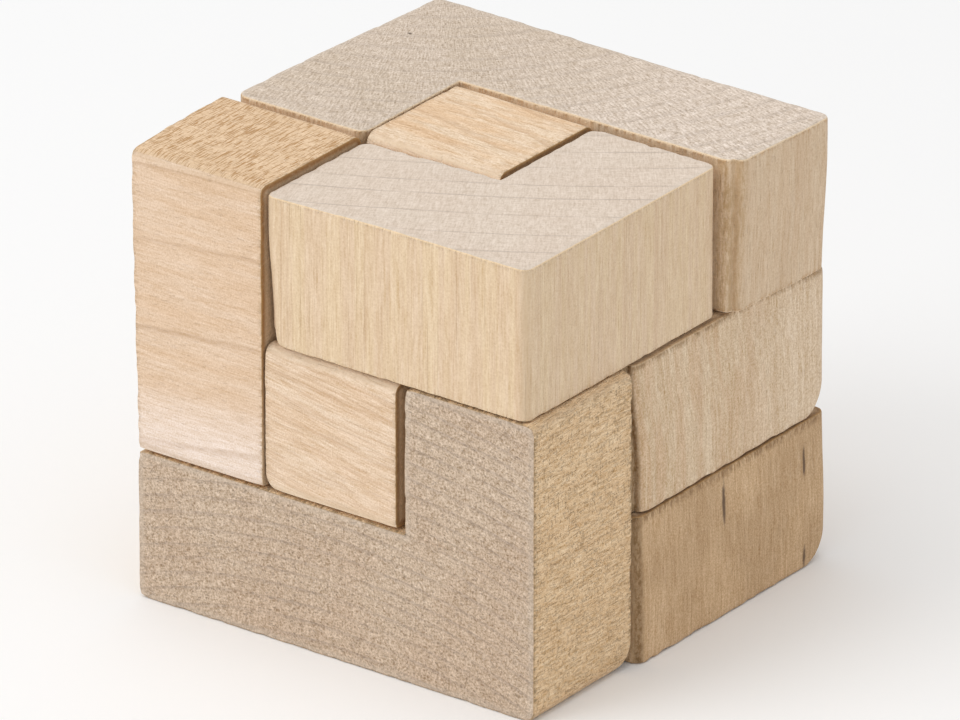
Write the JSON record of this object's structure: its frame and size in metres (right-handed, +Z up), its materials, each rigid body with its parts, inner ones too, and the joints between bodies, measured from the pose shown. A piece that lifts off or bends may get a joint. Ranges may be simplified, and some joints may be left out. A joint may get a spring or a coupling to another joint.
{
  "type": "wooden cube puzzle",
  "caption": "Packing puzzle of solid wooden L, T, Z and V blocks that slide apart from a cube and fit back together by hand",
  "frame": {"origin": "centre of the cube's footprint, on the surface it stands on", "axes": "+Z up, +X to the right along the front, +Y to the back"},
  "size_m": [0.0616, 0.0604, 0.06],
  "materials": {
    "peach_wood": "planed bare wood, fine grain",
    "pale_wood": "planed bare wood, sawn end grain",
    "grey_wood": "sawn end grain with growth rings",
    "rough_wood": "rough sawn bare wood",
    "tan_wood": "planed bare wood, straight grain",
    "brown_wood": "planed bare wood, darker heartwood"
  },
  "bodies": {
    "t_block": {"t_piece": "peach_wood"},
    "z_block": {"z_piece": "peach_wood"},
    "corner_block": {"corner_piece": "pale_wood"},
    "front_l_block": {"front_l_piece": "rough_wood"},
    "top_l_block": {"top_l_piece": "grey_wood"},
    "middle_l_block": {"middle_l_piece": "tan_wood"},
    "base_l_block": {"base_l_piece": "brown_wood"}
  },
  "joints": [
    {"name": "z_slides_left", "type": "slide", "parent": "t_block", "child": "z_block", "axis": [-1, 0, 0], "range_m": [0, 0.03]},
    {"name": "corner_lifts_up", "type": "slide", "parent": "t_block", "child": "corner_block", "axis": [0, 0, 1], "range_m": [0, 0.03]},
    {"name": "top_l_lifts_up", "type": "slide", "parent": "t_block", "child": "top_l_block", "axis": [0, 0, 1], "range_m": [0, 0.03]},
    {"name": "front_l_slides_forward", "type": "slide", "parent": "t_block", "child": "front_l_block", "axis": [0, -1, 0], "range_m": [0, 0.03]},
    {"name": "middle_l_slides_right", "type": "slide", "parent": "t_block", "child": "middle_l_block", "axis": [1, 0, 0], "range_m": [0, 0.065]},
    {"name": "base_l_slides_back", "type": "slide", "parent": "t_block", "child": "base_l_block", "axis": [0, 1, 0], "range_m": [0, 0.045]}
  ]
}
